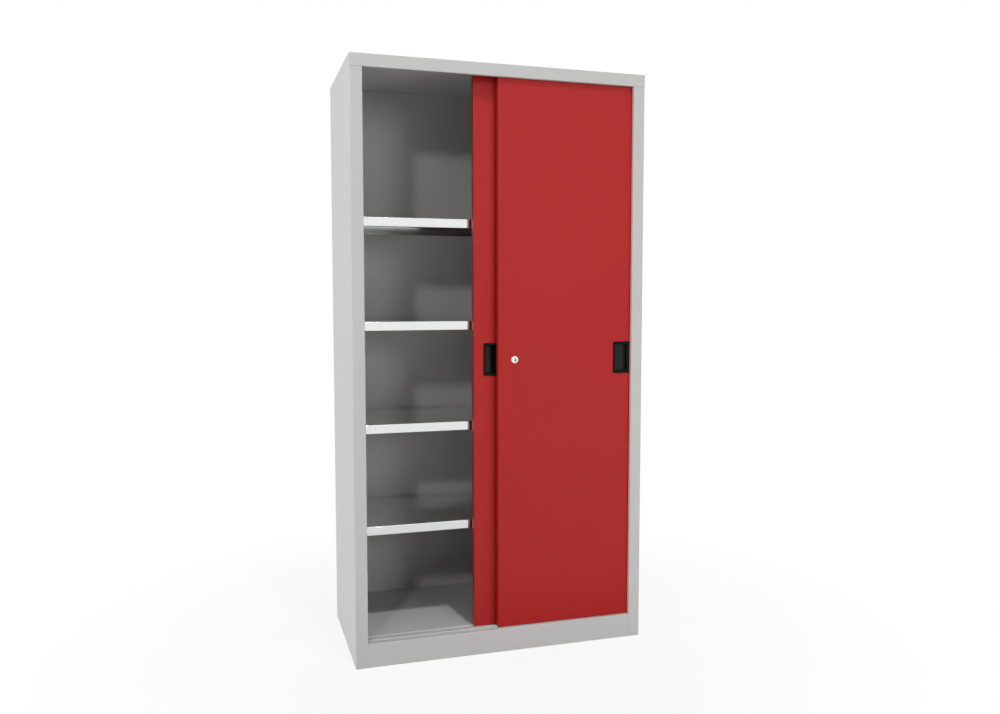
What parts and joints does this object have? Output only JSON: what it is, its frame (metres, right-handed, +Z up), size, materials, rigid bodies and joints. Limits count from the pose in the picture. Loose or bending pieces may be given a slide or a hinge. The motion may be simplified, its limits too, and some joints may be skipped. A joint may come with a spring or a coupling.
{
  "type": "sliding door cabinet",
  "caption": "Tall folded-steel storage cabinet with bypass sliding doors on a roller track, recessed handles, shelves on slotted uprights and a push lock.",
  "frame": {"origin": "on the floor, under the middle of the cabinet's box", "axes": "+Z up, the front faces -Y, +X to the right seen from the front"},
  "size_m": [1, 0.515, 1.95],
  "materials": {
    "grey_paint": "satin powder coat, light grey",
    "red_paint": "satin powder coat, red",
    "bright_zinc_sheet": "bright galvanised sheet, reflective",
    "zinc_plate": "zinc plated",
    "chrome": "polished",
    "black_plastic": "fine grained",
    "white_plastic": "smooth acetal",
    "rubber": "matt"
  },
  "bodies": {
    "cabinet": {"left_side_panel": "grey_paint", "right_side_panel": "grey_paint", "back_panel": "grey_paint", "top_panel": "grey_paint", "floor_panel": "grey_paint", "front_plinth": "grey_paint", "rear_base_rail": "grey_paint", "bottom_track": "grey_paint", "top_guide_rail": "zinc_plate", "rail_stops": "rubber", "track_rivets": "grey_paint", "guide_rail_rivets": "zinc_plate", "left_front_upright": "grey_paint", "left_rear_upright": "grey_paint", "right_front_upright": "grey_paint", "right_rear_upright": "grey_paint", "shelf_1": "bright_zinc_sheet", "shelf_2": "bright_zinc_sheet", "shelf_3": "bright_zinc_sheet", "shelf_4": "bright_zinc_sheet", "shelf_1_clips": "zinc_plate", "shelf_2_clips": "zinc_plate", "shelf_3_clips": "zinc_plate", "shelf_4_clips": "zinc_plate"},
    "left_door": {"left_door_panel": "red_paint", "left_door_stiffener": "red_paint", "left_roller_carrier": "zinc_plate", "left_roller_axles": "zinc_plate", "left_door_guides": "white_plastic", "left_handle": "black_plastic", "lock_strike": "zinc_plate", "strike_rivets": "zinc_plate"},
    "right_door": {"right_door_panel": "red_paint", "right_door_stiffener": "red_paint", "right_roller_carrier": "zinc_plate", "right_roller_axles": "zinc_plate", "right_door_guides": "white_plastic", "right_handle": "black_plastic", "lock_housing": "chrome", "lock_nut": "zinc_plate", "lock_spring": "zinc_plate"},
    "lock_plunger": {"lock_plunger": "chrome"},
    "lock_plug": {"lock_plug": "chrome"},
    "left_door_left_roller": {"left_door_left_roller": "white_plastic"},
    "left_door_right_roller": {"left_door_right_roller": "white_plastic"},
    "right_door_left_roller": {"right_door_left_roller": "white_plastic"},
    "right_door_right_roller": {"right_door_right_roller": "white_plastic"}
  },
  "joints": [
    {"name": "left_door_slide", "type": "slide", "parent": "cabinet", "child": "left_door", "axis": [1, 0, 0], "range_m": [-0.393, 0.01]},
    {"name": "right_door_slide", "type": "slide", "parent": "cabinet", "child": "right_door", "axis": [1, 0, 0], "range_m": [-0.468, 0]},
    {"name": "lock_plunger_push", "type": "slide", "parent": "right_door", "child": "lock_plunger", "axis": [0, 1, 0], "range_m": [0, 0.0065], "stiffness_N_per_m": 400, "springref_m": -0.005, "deforming": ["lock_spring"]},
    {"name": "key_plug_turn", "type": "hinge", "parent": "lock_plunger", "child": "lock_plug", "pos_m": [0.0405, -0.2435, 0.9895], "axis": [0, 1, 0], "range_deg": [0, 90]},
    {"name": "left_door_left_roller_turn", "type": "hinge", "parent": "left_door", "child": "left_door_left_roller", "pos_m": [-0.032, -0.198, 0.0938], "axis": [0, 1, 0], "continuous": true},
    {"name": "left_door_right_roller_turn", "type": "hinge", "parent": "left_door", "child": "left_door_right_roller", "pos_m": [0.35, -0.198, 0.0938], "axis": [0, 1, 0], "continuous": true},
    {"name": "right_door_left_roller_turn", "type": "hinge", "parent": "right_door", "child": "right_door_left_roller", "pos_m": [0.043, -0.231, 0.0938], "axis": [0, 1, 0], "continuous": true},
    {"name": "right_door_right_roller_turn", "type": "hinge", "parent": "right_door", "child": "right_door_right_roller", "pos_m": [0.425, -0.231, 0.0938], "axis": [0, 1, 0], "continuous": true}
  ],
  "couplings": [
    {"joint": "left_door_left_roller_turn", "follows": "left_door_slide", "rad_per_m": 90.909},
    {"joint": "left_door_right_roller_turn", "follows": "left_door_slide", "rad_per_m": 90.909},
    {"joint": "right_door_left_roller_turn", "follows": "right_door_slide", "rad_per_m": 90.909},
    {"joint": "right_door_right_roller_turn", "follows": "right_door_slide", "rad_per_m": 90.909}
  ]
}
